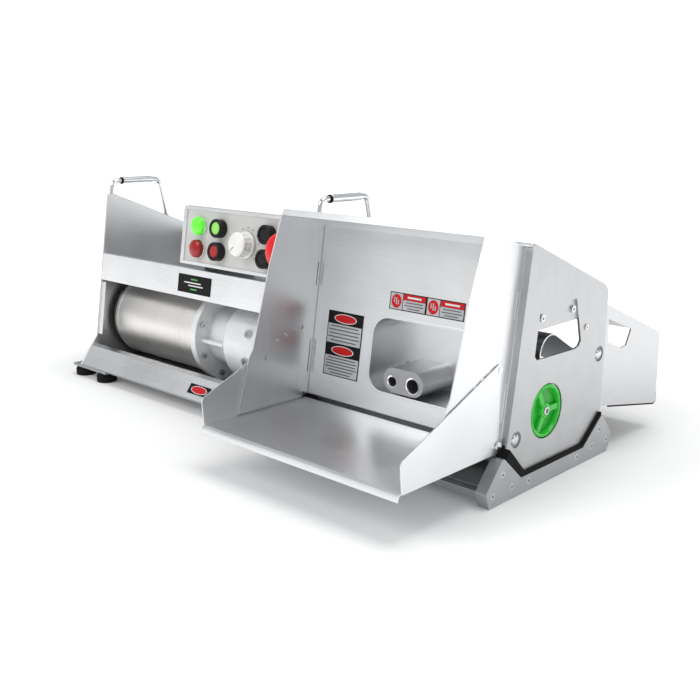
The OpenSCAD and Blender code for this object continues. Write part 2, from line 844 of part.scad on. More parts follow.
module lower_roller_shaft() {
    color("silver")
        bar_x(axis_y, axis_z, roller_shaft_r, coupling_x + hub_len + spider_len + 2, head_right - 4);
}

module upper_roller_shaft() {
    color("silver") bar_x(axis_y, upper_z, roller_shaft_r, frame_x[0] - 8, 430);
}

module lower_roller_gear() {
    color("goldenrod") gear(roller_teeth, roller_pitch / roller_teeth, 90, axis_y, axis_z,
                            roller_gear_x, 10, roller_shaft_r);
}

module upper_roller_gear() {
    color("goldenrod") gear(roller_teeth, roller_pitch / roller_teeth, -90 + 180 / roller_teeth,
                            axis_y, upper_z, roller_gear_x, 10, roller_shaft_r);
}

module hand_wheel() {
    color("limegreen") difference() {
        bar_x(axis_y, axis_z, wheel_r, head_right - wheel_t, head_right);
        bar_x(axis_y, axis_z, roller_shaft_r, head_right - wheel_t - 1, head_right + 1);
        difference() {
            bar_x(axis_y, axis_z, wheel_r - 6, head_right - wheel_t + 5, head_right + 1);
            bar_x(axis_y, axis_z, 9, head_right - wheel_t, head_right + 2);
            for (a = [30, 150, 270]) translate([head_right - wheel_t, axis_y, axis_z]) rotate([a, 0, 0])
                translate([0, 0, -3.5]) cube([wheel_t + 2, wheel_r, 7]);
        }
    }
    color("silver") difference() {
        bar_x(axis_y, axis_z, roller_shaft_r - eps, head_right - 4, head_right + 1.2);
        translate([head_right, axis_y, axis_z]) rotate([0, 90, 0]) cylinder(r = 3, h = 5, $fn = 6);
    }
}

module hand_hole_cover() {
    color("silver") side(head_in_r - 2, 2)
        polygon([[-52, 245], [52, 243.6], [62, cover_low], [-50, cover_low]]);
}

// Domed bolts in round recesses, each on a cup behind the plate, and all small screws
module plate_screws() {
    color("silver") {
        for (p = bolt_places) {
            bar_x(p[0], p[1], cup_r, head_in_r - 3, head_in_r);
            bar_x(p[0], p[1], cup_r, head_in_l, head_in_l + 3);
            translate([head_in_r - eps, p[0], p[1]]) rotate([0, 90, 0]) rotate_extrude()
                polygon([[0, 0], [8.4, 0], [8.1, 1.2], [6.4, 3], [4, 4.1], [0, 4.6]]);
        }
        for (p = [[-34, 223], [40, 224]]) translate([head_in_r, p[0], p[1]]) rotate([0, 90, 0])
            socket_head(5, 2.6);
        for (p = skid_bolts) translate([skid_right - 3, p[0], p[1]]) rotate([0, 90, 0])
            socket_head(4.9, 2.6);
        for (x = [245, 335]) translate([x, pocket_back, 128]) rotate([90, 0, 0]) socket_head(3, 2.5);
        translate([head_right, 73.7, 194.4]) rotate([0, 90, 0]) socket_head(4, 1.6);
    }
}

// ---------- hood and tray ----------

module hood_cheek(x0) {
    difference() {
        side(x0, hood_t) polygon(concat(hood_line, hood_back));
        for (z = [[100, 148], [228, 262]])
            side(x0 - 1, hood_t + 2) polygon([[head_y(z[0]) - 6, z[0]], [head_y(z[0]) - 4, z[0]],
                                              [head_y(z[1]) - 4, z[1]], [head_y(z[1]) - 6, z[1]]]);
        for (i = [0 : index_count - 1]) let (a = 90 + i * index_step)
            bar_x(pivot[0] + index_r * cos(a), pivot[1] + index_r * sin(a), pin_r + pin_play, x0 - 1, x0 + 4);
        bar_x(pivot[0], pivot[1], pin_r + pin_play, x0 - 1, x0 + hood_t + 1);
    }
}

module hood() {
    color("gainsboro") {
        hood_cheek(hood_left);
        hood_cheek(hood_right - hood_t);
        side(hood_left + hood_t, hood_right - hood_left - 2 * hood_t)
            polygon([[-144.2, 344.4], [-149.5, 336.2], [-141.5, 333.2], [-141, 334.8], [-147, 337.1],
                     [-143.4, 342.2], [head_y(313.2), 313.2], [head_y(315), 315]]);
    }
}

module feed_tray() {
    color("gainsboro") {
        for (x0 = [tray_left, tray_right - tray_t]) difference() {
            side(x0, tray_t) polygon(tray_side);
            bar_x(pivot[0], pivot[1], pin_r + pin_play, x0 - 1, x0 + tray_t + 1);
        }
        bar_x(pivot[0], pivot[1] + index_r, pin_r + 1, tray_left - 0.9, tray_left);
        bar_x(pivot[0], pivot[1] + index_r, pin_r + 1, tray_right, tray_right + 0.9);
        side(tray_left + tray_t, tray_right - tray_left - 2 * tray_t)
            polygon([[-111.8, tray_floor], [-296, tray_floor], [-299.6, 60], [-301.4, 56], [-301.4, 53.5],
                     [tray_front, 53.5], [tray_front, 57], [-301.4, 61.4], [-297, tray_floor + tray_t],
                     [-111.8, tray_floor + tray_t]]);
    }
}

// Headed pins through the tray walls and hood cheeks, on the tilt axis
module pivot_pins() {
    color("silver") {
        bar_x(pivot[0], pivot[1], pin_r, tray_left - 1, hood_left + hood_t + 1.5);
        bar_x(pivot[0], pivot[1], pin_r + 2.5, tray_left - 1, tray_left - 0.3);
        bar_x(pivot[0], pivot[1], pin_r, hood_right - hood_t - 1.5, tray_right + 1);
        bar_x(pivot[0], pivot[1], pin_r + 2.5, tray_right + 0.3, tray_right + 3);
    }
}

// ---------- discharge chute ----------

module discharge_chute() {
    color("silver") {
        for (x0 = [head_left, head_right - sheet]) difference() {
            side(x0, sheet) polygon([chute_top[0], chute_top[1], chute_end, chute_low[1], chute_low[0]]);
            side(x0 - 1, sheet + 2) polygon(chute_hand);
        }
        side(head_left + sheet, head_right - head_left - 2 * sheet) {
            polygon([chute_top[0], chute_top[1], chute_top[1] - [0, 2], chute_top[0] - [0, 2]]);
            polygon([chute_low[0], chute_low[1], chute_low[1] + [0, 2], chute_low[0] + [0, 2]]);
        }
    }
}

// ---------- cradle ----------

module skids() {
    color("silver") {
        difference() {
            side(skid_right - skid_t, skid_t) polygon(skid_outline);
            for (p = skid_bolts) bar_x(p[0], p[1], 5, skid_right - 3, skid_right + 1);
        }
        side(head_left, skid_t) polygon(skid_outline);
    }
}

// Black rubber: liners in both skids, and the edge strips of the chute
module rubber_trims() {
    color("black") {
        for (x0 = [head_left, skid_right - skid_t]) side(x0, skid_t) polygon(liner_outline);
        for (x0 = [head_left, head_right - sheet]) side(x0, sheet)
            polygon([[150, 66.1], [295.4, 37.3], [301.6, 39.7], [301.4, 54], [303, 54], [303, 38.2],
                     [295.8, 34.8], [150, 63.6]]);
    }
}

// Plate and cross bars between the skids, and the arms that tie them to the drive unit
module cradle_base() {
    color("dimgray") {
        slab(head_left + skid_t, skid_right - skid_t, -126, 118, 12, 17);
        for (y = [-144, 128]) slab(head_left + skid_t, skid_right - skid_t, y, y + 10, 8, 18);
        for (y = arm_y) slab(-60, head_left, y - 15, y + 15, base_z - 8, base_z);
    }
}

drive_left_side();
drive_right_side();
cross_panel();
lip_panel();
base_floor();
rear_panel();
bay_deck();
speed_drive();
power_inlet();
control_box();
control_face();
pilot_lights();
button_bezels();
green_button();
red_button();
upper_black_button();
lower_black_button();
stop_mushroom();
contact_blocks();
speed_knob();
labels();
grab_handles();
handle_grips();
rubber_feet();
motor_shell();
motor_end_bell();
motor_stator();
motor_rotor();
gearbox_flange();
gearbox_housing();
gearbox_screws();
bearings();
layshaft();
output_shaft();
jaw_coupling();
head_left_side();
head_right_side();
front_panel();
pocket_lining();
guide_block();
head_cover();
head_floor();
roller_guard();
roller_frames();
lower_roller();
upper_roller();
lower_roller_shaft();
upper_roller_shaft();
lower_roller_gear();
upper_roller_gear();
hand_wheel();
hand_hole_cover();
plate_screws();
hood();
feed_tray();
pivot_pins();
discharge_chute();
skids();
rubber_trims();
cradle_base();
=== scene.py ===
import json
import math

import bpy
from mathutils import Matrix, Vector

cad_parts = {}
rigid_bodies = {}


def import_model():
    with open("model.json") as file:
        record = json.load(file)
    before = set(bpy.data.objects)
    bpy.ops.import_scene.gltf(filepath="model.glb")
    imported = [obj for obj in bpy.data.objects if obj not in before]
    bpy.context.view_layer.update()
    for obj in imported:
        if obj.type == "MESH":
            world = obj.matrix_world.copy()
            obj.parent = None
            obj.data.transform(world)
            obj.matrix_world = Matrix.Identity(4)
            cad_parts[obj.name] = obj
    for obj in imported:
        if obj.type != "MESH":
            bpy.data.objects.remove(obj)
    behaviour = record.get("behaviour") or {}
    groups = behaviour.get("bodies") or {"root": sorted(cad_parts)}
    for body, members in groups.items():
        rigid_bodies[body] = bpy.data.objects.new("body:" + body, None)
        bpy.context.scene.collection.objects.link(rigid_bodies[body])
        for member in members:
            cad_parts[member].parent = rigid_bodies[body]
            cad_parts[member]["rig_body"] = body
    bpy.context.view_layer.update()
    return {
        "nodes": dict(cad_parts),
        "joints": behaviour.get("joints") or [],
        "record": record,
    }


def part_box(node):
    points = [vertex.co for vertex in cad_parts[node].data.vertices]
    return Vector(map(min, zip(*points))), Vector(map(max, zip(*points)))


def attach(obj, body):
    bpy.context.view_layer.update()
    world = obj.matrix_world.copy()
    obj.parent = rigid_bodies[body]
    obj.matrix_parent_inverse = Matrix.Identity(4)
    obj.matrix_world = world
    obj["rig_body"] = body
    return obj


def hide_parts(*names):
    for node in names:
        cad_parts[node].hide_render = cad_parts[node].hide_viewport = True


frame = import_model()
mm = 0.001
scene = bpy.context.scene

# ---- Stainless sheets of the drive unit ----
# Laser-cut and folded stainless, 2 to 3 mm thick, with a brushed skin whose lines run along
# each sheet.  The cut edges are eased with a file, so they catch the light.
def blank(name):
    paint = bpy.data.materials.new(name)
    paint.use_nodes = True
    return paint, paint.node_tree.nodes, paint.node_tree.links


def noise(nodes, links, scale, detail):
    spot = nodes.new("ShaderNodeTexCoord")
    stretch = nodes.new("ShaderNodeMapping")
    speckle = nodes.new("ShaderNodeTexNoise")
    stretch.inputs["Scale"].default_value = scale
    speckle.inputs["Scale"].default_value = 1.0
    speckle.inputs["Detail"].default_value = detail
    links.new(spot.outputs["Object"], stretch.inputs["Vector"])
    links.new(stretch.outputs["Vector"], speckle.inputs["Vector"])
    return speckle.outputs["Fac"]


def spread(nodes, links, source, low, high):
    ranger = nodes.new("ShaderNodeMapRange")
    ranger.inputs["From Min"].default_value = 0.3
    ranger.inputs["From Max"].default_value = 0.7
    ranger.inputs["To Min"].default_value = low
    ranger.inputs["To Max"].default_value = high
    links.new(source, ranger.inputs["Value"])
    return ranger.outputs["Result"]


def blend_of(nodes, links, first, second, share):
    mix = nodes.new("ShaderNodeMath")
    mix.operation = "MULTIPLY_ADD"
    scaled = nodes.new("ShaderNodeMath")
    scaled.operation = "MULTIPLY"
    scaled.inputs[1].default_value = 1 - share
    links.new(second, scaled.inputs[0])
    links.new(first, mix.inputs[0])
    mix.inputs[1].default_value = share
    links.new(scaled.outputs[0], mix.inputs[2])
    return mix.outputs[0]


def tinted(nodes, links, source, dark, light):
    ramp = nodes.new("ShaderNodeValToRGB")
    ramp.color_ramp.elements[0].position = 0.3
    ramp.color_ramp.elements[0].color = (*dark, 1)
    ramp.color_ramp.elements[1].position = 0.7
    ramp.color_ramp.elements[1].color = (*light, 1)
    links.new(source, ramp.inputs["Fac"])
    return ramp.outputs["Color"]


def roughened(nodes, links, height, strength, depth):
    bump = nodes.new("ShaderNodeBump")
    bump.inputs["Strength"].default_value = strength
    bump.inputs["Distance"].default_value = depth
    links.new(height, bump.inputs["Height"])
    return bump.outputs["Normal"]


def steel(name, tone, polish, lay, line_pitch=0.0008, line_depth=0.25):
    """Brushed metal: tone is its colour, polish its mean roughness, lay the axes the lines run along."""
    paint, nodes, links = blank(name)
    shader = nodes["Principled BSDF"]
    across = 1 / line_pitch
    lines = noise(nodes, links, [16 if axis in lay else across for axis in "XYZ"], 3)
    clouds = noise(nodes, links, (11, 11, 11), 3)
    mixed = blend_of(nodes, links, lines, clouds, 0.55)
    dark = [0.90 * c for c in tone]
    light = [min(1.0, 1.06 * c) for c in tone]
    links.new(tinted(nodes, links, mixed, dark, light), shader.inputs["Base Color"])
    links.new(spread(nodes, links, mixed, polish - 0.07, polish + 0.08), shader.inputs["Roughness"])
    links.new(roughened(nodes, links, lines, line_depth, 0.00003), shader.inputs["Normal"])
    shader.inputs["Metallic"].default_value = 1.0
    return paint


satin = (0.74, 0.75, 0.76)
bright = (0.86, 0.87, 0.88)
sheet_along = steel("brushed_sheet_along", satin, 0.36, "X")
sheet_deep = steel("brushed_sheet_deep", satin, 0.38, "Y")
bright_along = steel("bright_sheet_along", bright, 0.30, "X")
# The bay sheets are the same brushed stainless, painted far darker: painted shade in the bay and under the
# drive unit.
bay_steel_painted_shade = steel("bay_sheet_painted_shade", (0.42, 0.43, 0.44), 0.42, "X")

slot_of = {part["node"]: part["material_slot"] for part in frame["record"]["subparts"]}


def fitted(piece, body):
    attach(piece, body)
    return piece


def alone(piece):
    bpy.ops.object.select_all(action="DESELECT")
    piece.select_set(True)
    bpy.context.view_layer.objects.active = piece


def eased(node, radius, paint, steps=2, turn=35):
    """The node's own shape with its doubles merged and its sharp edges rounded by radius, in mm."""
    source = frame["nodes"][node]
    piece = bpy.data.objects.new(node + "_finished", source.data.copy())
    scene.collection.objects.link(piece)
    alone(piece)
    bpy.ops.object.mode_set(mode="EDIT")
    bpy.ops.mesh.select_all(action="SELECT")
    bpy.ops.mesh.remove_doubles(threshold=0.000002)
    bpy.ops.mesh.dissolve_limited(angle_limit=math.radians(0.5))
    bpy.ops.object.mode_set(mode="OBJECT")
    if piece.data.has_custom_normals:
        bpy.ops.mesh.customdata_custom_splitnormals_clear()
    bpy.ops.object.shade_smooth_by_angle(angle=math.radians(turn))
    rounding = piece.modifiers.new("rounding", "BEVEL")
    rounding.width = radius * mm
    rounding.segments = steps
    rounding.limit_method = "ANGLE"
    rounding.angle_limit = math.radians(turn)
    bpy.ops.object.modifier_apply(modifier="rounding")
    bpy.ops.object.shade_smooth_by_angle(angle=math.radians(turn))
    flatten = piece.modifiers.new("flatten", "WEIGHTED_NORMAL")
    flatten.keep_sharp = True
    flatten.weight = 100
    bpy.ops.object.modifier_apply(modifier="flatten")
    piece.data.materials.clear()
    piece.data.materials.append(paint)
    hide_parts(node)
    return fitted(piece, source["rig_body"])


for node, radius, paint in (
    ("drive_left_side", 0.7, sheet_deep),
    ("drive_right_side", 0.7, sheet_deep),
    ("cross_panel", 0.6, bright_along),
    ("lip_panel", 0.6, bright_along),
    # The base floor and bay deck take the darker bay steel: painted shade.
    ("base_floor", 0.5, bay_steel_painted_shade),
    ("rear_panel", 0.6, sheet_along),
    ("bay_deck", 0.5, bay_steel_painted_shade),
    ("control_box", 1.0, bright_along),
):
    eased(node, radius, paint)


# ---- Grab handles ----
# Polished stainless rod, bent cold and welded to the top edge of each side plate, with a loose
# brushed sleeve to hold and a dark rubber ring at the front end of each sleeve.
polished = steel("polished_rod", (0.80, 0.81, 0.82), 0.16, "Y", 0.0015, 0.1)
eased("grab_handles", 0.3, polished)
eased("handle_grips", 0.5, steel("sleeve_steel", (0.88, 0.89, 0.90), 0.24, "Y"))


def coated(name, colour, gloss, pebble=0.0004, depth=0.1, coat=0.0, metal=0.0, shine=0.5):
    """Paint, plastic or rubber: a slightly uneven colour over a fine pebbled skin."""
    paint, nodes, links = blank(name)
    shader = nodes["Principled BSDF"]
    skin = noise(nodes, links, [1 / pebble] * 3, 4)
    clouds = noise(nodes, links, (35, 35, 35), 3)
    mixed = blend_of(nodes, links, skin, clouds, 0.4)
    dark = [0.88 * c for c in colour]
    light = [min(1.0, 1.05 * c + 0.003) for c in colour]
    links.new(tinted(nodes, links, mixed, dark, light), shader.inputs["Base Color"])
    links.new(spread(nodes, links, mixed, gloss - 0.04, gloss + 0.06), shader.inputs["Roughness"])
    links.new(roughened(nodes, links, skin, depth, 0.00004), shader.inputs["Normal"])
    shader.inputs["Specular IOR Level"].default_value = shine
    shader.inputs["Coat Weight"].default_value = coat
    shader.inputs["Coat Roughness"].default_value = 0.08
    shader.inputs["Metallic"].default_value = metal
    return paint


black_rubber = coated("black_rubber", (0.009, 0.009, 0.01), 0.7, 0.0006, 0.3, shine=0.12)


def turned(name, outline, place, paint, body, sides=96, turn=35):
    """A round piece raised ring by ring: outline holds (radius, height) pairs in mm along its axis."""
    radius, height = outline[0]
    bpy.ops.object.select_all(action="DESELECT")
    bpy.ops.mesh.primitive_circle_add(
        vertices=sides, radius=radius * mm, fill_type="NGON", location=(0, 0, height * mm)
    )
    piece = bpy.context.active_object
    piece.name = name
    bpy.ops.object.transform_apply(location=True, rotation=True, scale=True)
    bpy.ops.object.mode_set(mode="EDIT")
    bpy.ops.mesh.select_all(action="SELECT")
    for next_radius, next_height in outline[1:]:
        rise = (next_height - height) * mm
        bpy.ops.mesh.extrude_region_move(TRANSFORM_OT_translate={"value": (0, 0, rise)})
        bpy.ops.transform.resize(value=(next_radius / radius, next_radius / radius, 1))
        radius, height = next_radius, next_height
    bpy.ops.mesh.select_all(action="SELECT")
    bpy.ops.mesh.normals_make_consistent(inside=False)
    bpy.ops.object.mode_set(mode="OBJECT")
    piece.data.transform(place)
    bpy.ops.object.shade_smooth_by_angle(angle=math.radians(turn))
    piece.data.materials.append(paint)
    return fitted(piece, body)


grip_low, grip_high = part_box("handle_grips")
rod_low, rod_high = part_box("grab_handles")
for side, x in (("left", rod_low.x + 0.0045), ("right", rod_high.x - 0.0045)):
    place = Matrix.Translation((x, grip_low.y + 0.0005, grip_high.z - 0.0063)) @ Matrix.Rotation(
        math.radians(90), 4, "X"
    )
    turned(
        f"{side}_handle_ring",
        [(4.55, 0), (6.0, 0.2), (6.3, 1.0), (6.3, 3.2), (5.8, 4.0), (4.55, 4.2)],
        place, black_rubber, "frame", 48,
    )


# ---- Rubber feet, inlet and speed drive ----
# Moulded rubber bumpers hold the drive unit off the bench.  The inlet gland and the finned
# speed drive sit at the back of the bay.
black_plastic = coated("black_plastic", (0.008, 0.008, 0.009), 0.3, 0.0005, 0.08, shine=0.2)
eased("rubber_feet", 1.6, black_rubber, 3)
eased("power_inlet", 0.8, black_plastic)
eased("speed_drive", 0.8, coated("drive_casting", (0.06, 0.06, 0.065), 0.5, metal=0.6))


# ---- Controls ----
# A light grey face plate sits inside the bright border of the control box.  It carries two
# domed pilot lights, four flush pushbuttons, the speed knob in its ring of marks and the stop.
joint_of = {joint["name"]: joint for joint in frame["joints"]}
knob_centre = Vector(joint_of["speed_knob_turn"]["pos_m"])
outward = -Vector(joint_of["speed_knob_turn"]["axis"])
lean = math.asin(outward.z)


def on_panel(x, z, lift):
    """A place on the leaning front of the drive unit, in mm, lift out of it, with Z outwards."""
    back = (z * mm - knob_centre.z) * math.tan(lean)
    spot = Matrix.Translation((x * mm, knob_centre.y + back, z * mm))
    return spot @ Matrix.Rotation(math.pi / 2 - lean, 4, "X") @ Matrix.Translation((0, 0, lift * mm))


face_grey = coated("face_grey", (0.60, 0.595, 0.58), 0.4, 0.0009, 0.05, 0.1, shine=0.3)
eased("control_face", 0.4, face_grey)
eased("button_bezels", 1.4, black_plastic, 3)
lit_green = coated("lit_green", (0.12, 0.80, 0.03), 0.22, coat=0.5, shine=0.25)
lit_green.node_tree.nodes["Principled BSDF"].inputs["Emission Color"].default_value = (0.12, 1, 0.08, 1)
lit_green.node_tree.nodes["Principled BSDF"].inputs["Emission Strength"].default_value = 0.35
cap_green = coated("cap_green", (0.30, 0.74, 0.14), 0.34, shine=0.2)
cap_red = coated("cap_red", (0.38, 0.03, 0.03), 0.34, shine=0.2)
cap_black = coated("cap_black", (0.009, 0.011, 0.01), 0.24, shine=0.22)
for node, paint in (
    ("green_button", cap_green),
    ("red_button", cap_red),
    ("upper_black_button", cap_black),
    ("lower_black_button", cap_black),
):
    eased(node, 0.9, paint, 3)

lens_red = coated("lens_red", (0.34, 0.008, 0.008), 0.2, coat=0.4, shine=0.25)
ring_steel = steel("turned_ring", (0.75, 0.75, 0.76), 0.22, "XZ", 0.0012, 0.1)
pilot_x = (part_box("pilot_lights")[0].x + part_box("pilot_lights")[1].x) / 2 / mm
dome = [(14.7, 0.6), (14.7, 6.0), (14.4, 7.2), (13.6, 8.3), (12.2, 9.2), (9.6, 10.0), (6.2, 10.6),
        (3.0, 10.9), (0.6, 11.0)]
for name, z, lens in (("green", 292.8, lit_green), ("red", 256.2, lens_red)):
    bezel = turned(
        f"{name}_pilot_bezel",
        [(11, -24), (11, -2.2), (15, -2.2), (15, -0.1), (14.4, 0.7), (8, 0.7)],
        on_panel(pilot_x, z, 0), ring_steel, "frame",
    )
    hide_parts("pilot_lights")
    pilot = turned(f"{name}_pilot_lens", dome, on_panel(pilot_x, z, 0), lens, "frame")
    alone(pilot)
    bpy.ops.object.mode_set(mode="EDIT")
    bpy.ops.mesh.select_all(action="DESELECT")
    bpy.ops.object.mode_set(mode="OBJECT")
    centre = on_panel(pilot_x, z, 0)
    for side in pilot.data.polygons:
        local = centre.inverted() @ side.center
        flank = Vector((local.x, local.y)).length > 14.3 * mm
        step = int(math.atan2(local.y, local.x) / math.tau * 96)
        side.select = flank and local.z < 5 * mm and step % 2 == 0
    bpy.ops.object.mode_set(mode="EDIT")
    bpy.ops.mesh.inset(thickness=0.00012, depth=-0.0003, use_individual=True)
    bpy.ops.object.mode_set(mode="OBJECT")

# The knob is one white moulding: a wide skirt, a fluted grip and a black pointer line.
knob_white = coated("knob_white", (0.86, 0.86, 0.84), 0.24, 0.0007, 0.04, 0.4)
knob_place = on_panel(knob_centre.x / mm, knob_centre.z / mm, 0)
knob = turned(
    "speed_knob_body",
    [(3, -19), (3, -1.6), (20.9, -1.6), (21.4, -0.8), (21.4, 2.6), (20.8, 3.4), (19.9, 4), (19.6, 5),
     (19.3, 17), (18.9, 18.9), (17.8, 20.2), (16, 20.7), (1, 20.8)],
    knob_place, knob_white, "knob",
)
alone(knob)
bpy.ops.object.mode_set(mode="EDIT")
bpy.ops.mesh.select_mode(type="FACE")
bpy.ops.object.mode_set(mode="OBJECT")
for side in knob.data.polygons:
    local = knob_place.inverted() @ side.center
    flank = 6.2 * mm < local.z < 16 * mm
    step = int((math.atan2(local.y, local.x) / math.tau + 1) * 96)
    side.select = flank and step % 6 in (0, 1, 2)
bpy.ops.object.mode_set(mode="EDIT")
bpy.ops.mesh.inset(thickness=0.0003, depth=-0.0009)
bpy.ops.object.mode_set(mode="OBJECT")
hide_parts("speed_knob")

print_black = coated("print_black", (0.009, 0.009, 0.009), 0.5, shine=0.1)
print_white = coated("print_white", (0.80, 0.80, 0.79), 0.45)
print_grey = coated("print_grey", (0.12, 0.12, 0.13), 0.5, shine=0.15)
print_red = coated("print_red", (0.60, 0.014, 0.018), 0.45, shine=0.15)


def printed(shape, centre, size, place, paint, sides=48):
    """One shape of a print: a thin bar or an oval, its centre, size and thickness in mm."""
    bpy.ops.object.select_all(action="DESELECT")
    if shape == "bar":
        bpy.ops.mesh.primitive_cube_add(size=1)
    else:
        bpy.ops.mesh.primitive_cylinder_add(vertices=sides, radius=0.5, depth=1)
    bit = bpy.context.active_object
    bit.data.transform(
        place
        @ Matrix.Translation(Vector(centre) * mm)
        @ Matrix.Diagonal((size[0] * mm, size[1] * mm, size[2] * mm, 1))
    )
    bit.data.materials.append(paint)
    return bit


def joined(name, bits, body):
    bpy.ops.object.select_all(action="DESELECT")
    for bit in bits:
        bit.select_set(True)
    bpy.context.view_layer.objects.active = bits[0]
    bpy.ops.object.join()
    piece = bpy.context.active_object
    piece.name = name
    bpy.ops.object.transform_apply(location=True, rotation=True, scale=True)
    bpy.ops.object.mode_set(mode="EDIT")
    bpy.ops.mesh.select_all(action="SELECT")
    bpy.ops.mesh.bevel(offset=0.00004, segments=1)
    bpy.ops.object.mode_set(mode="OBJECT")
    return fitted(piece, body)


knob_turned = knob_place @ Matrix.Rotation(math.radians(225), 4, "Z")
pointer = printed("bar", (10.8, 0, 20.75), (9.5, 1.3, 0.4), knob_turned, print_grey)
joined("knob_pointer", [pointer], "knob")

marks = []
for step in range(11):
    angle = math.radians(225 - 27 * step)
    spot = (27.5 * math.cos(angle), 27.5 * math.sin(angle), -2.1)
    marks.append(printed("oval", spot, (2.2, 2.2, 0.3), knob_place, print_grey, 20))
joined("speed_dial_marks", marks, "frame")

stop_red = coated("stop_red", (0.76, 0.012, 0.014), 0.34, 0.0006, 0.05, 0.2, shine=0.15)
stop_x = (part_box("stop_mushroom")[0].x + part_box("stop_mushroom")[1].x) / 2 / mm
mushroom = turned(
    "stop_mushroom_head",
    [(6, -28), (6, 22), (16.5, 22), (20, 23.4), (24.4, 26.6), (26.4, 30), (27, 33.4), (26.5, 37),
     (24.9, 40), (21.8, 42.6), (17.4, 44.6), (11.6, 45.8), (5.8, 46.3), (1, 46.4)],
    on_panel(stop_x, knob_centre.z / mm, 0), stop_red, "stop_head",
)
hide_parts("stop_mushroom")


# ---- Badge and labels ----
# A black anodised badge with a plain ring, and printed film labels on the lip and on the head's
# front.  Their prints are plain blocks, ovals and bars.
badge_place = on_panel(0, 196.8, 0)
badge = printed("bar", (-165.85, 0, 0.6), (85.5, 30.2, 1.2), badge_place, print_black)
alone(badge)
bpy.ops.object.mode_set(mode="EDIT")
bpy.ops.mesh.select_all(action="SELECT")
bpy.ops.mesh.bevel(offset=0.0004, segments=2)
bpy.ops.object.mode_set(mode="OBJECT")
badge_bits = [badge]
badge_green = coated("badge_green", (0.10, 0.50, 0.12), 0.35)
for x, up, width, ink in (
    (-165.85, 8.2, 17, badge_green),
    (-165.85, -8.2, 17, badge_green),
    (-170, 2.4, 44, print_white),
    (-161, -2.4, 38, print_white),
):
    badge_bits.append(printed("bar", (x, up, 1.25), (width, 1.9, 0.3), badge_place, ink))
badge_plate = joined("badge_plate", badge_bits, "frame")
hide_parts("labels")

lip_place = (
    Matrix.Translation((-104.15 * mm, -146.37 * mm, 36.75 * mm))
    @ Matrix.Rotation(math.atan2(31, 24), 4, "X")
)
lip_bits = [
    printed("bar", (0, 0, 0.2), (52.3, 17.4, 0.5), lip_place, print_black),
    printed("oval", (0, 0, 0.5), (40, 13.6, 0.2), lip_place, print_white),
    printed("oval", (0, 0, 0.6), (37, 11.8, 0.2), lip_place, print_red),
]
joined("lip_label", lip_bits, "frame")


def on_head(x, up, lift=0):
    """A place on the leaning front of the feed head, up the front from its foot, in mm."""
    foot = Matrix.Translation((x * mm, -104.5 * mm, 67.5 * mm))
    return foot @ Matrix.Rotation(math.pi / 2 - lean, 4, "X") @ Matrix.Translation((0, up * mm, lift * mm))


film = coated("label_film", (0.52, 0.53, 0.54), 0.42)
tall_place = on_head(166.55, 0)
tall_bits = [printed("bar", (0, 82.2, 0.2), (68.7, 94.6, 0.4), tall_place, print_black)]
for base, lengths in ((36.4, (54, 60, 57, 61, 50, 40)), (82.9, (54, 60, 57, 61, 50))):
    tall_bits.append(printed("bar", (0, base + 14, 0.45), (65.5, 28, 0.2), tall_place, film))
    for row, length in enumerate(lengths):
        spot = (0, base + 24.8 - row * 26 / len(lengths), 0.6)
        tall_bits.append(printed("bar", spot, (length, 1.7, 0.15), tall_place, print_grey))
    tall_bits.append(printed("oval", (0, base + 36.8, 0.5), (44, 13.6, 0.2), tall_place, print_white, 64))
    tall_bits.append(printed("oval", (0, base + 36.8, 0.6), (41, 11.6, 0.2), tall_place, print_red, 64))
joined("feed_label", tall_bits, "frame")

strip_place = on_head(245, 158.9)
strip_bits = [printed("bar", (63.95, 0, 0.2), (127.9, 24.3, 0.4), strip_place, print_black)]
for start in (0, 63.95):
    sign_x = start + 12.2
    text_x = start + 43.2
    strip_bits.append(printed("bar", (sign_x, 0, 0.45), (21, 21.9, 0.2), strip_place, film))
    strip_bits.append(printed("oval", (sign_x, 0, 0.6), (17.5, 19, 0.2), strip_place, print_red, 64))
    for aside, up, tall in ((-3.6, 1.6, 6.5), (0, 0.4, 9.5), (3.6, -1.2, 6)):
        strip_bits.append(printed("bar", (sign_x + aside, up, 0.7), (1.7, tall, 0.2), strip_place, film))
    strip_bits.append(printed("bar", (text_x, 7, 0.45), (38.6, 8, 0.2), strip_place, print_red))
    strip_bits.append(printed("bar", (text_x, 7, 0.6), (24, 2.6, 0.15), strip_place, print_white))
    strip_bits.append(printed("bar", (text_x, -4, 0.45), (38.6, 13.4, 0.2), strip_place, film))
    for row, length in enumerate((30, 33, 22)):
        spot = (text_x, -0.2 - row * 3.9, 0.6)
        strip_bits.append(printed("bar", spot, (length, 1.4, 0.15), strip_place, print_grey))
joined("strip_label", strip_bits, "frame")


# ---- Motor and gearbox ----
# A washdown motor in a turned stainless drum, bolted through a white enamelled flange to a white
# cast gearbox with socket plugs round it.
drum_steel = steel("turned_drum", (0.84, 0.82, 0.79), 0.44, "YZ", 0.0011, 0.5)
motor_low, motor_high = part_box("motor_shell")
axis_y = (motor_low.y + motor_high.y) / 2 / mm
axis_z = (motor_low.z + motor_high.z) / 2 / mm
along_x = Matrix.Translation((0, axis_y * mm, axis_z * mm)) @ Matrix.Rotation(math.pi / 2, 4, "Y")
drum = turned(
    "motor_drum",
    [(70, -425), (72.6, -425), (73.2, -424.2), (73.2, -418), (72.4, -417.4), (72.4, -416),
     (73.2, -415.4), (73.2, -229), (72.6, -228.6), (72.6, -227.4), (73.9, -226.8), (73.9, -189),
     (70, -189), (69.5, -424)],
    along_x, drum_steel, "frame", 160,
)
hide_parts("motor_shell")
eased("motor_end_bell", 2, coated("bell_casting", (0.10, 0.10, 0.11), 0.45, metal=0.7), 3)
white_enamel = coated("white_enamel", (0.90, 0.91, 0.92), 0.2, 0.0016, 0.12, 0.6)
eased("gearbox_flange", 1.6, white_enamel, 3)
eased("gearbox_housing", 3.0, white_enamel, 3)
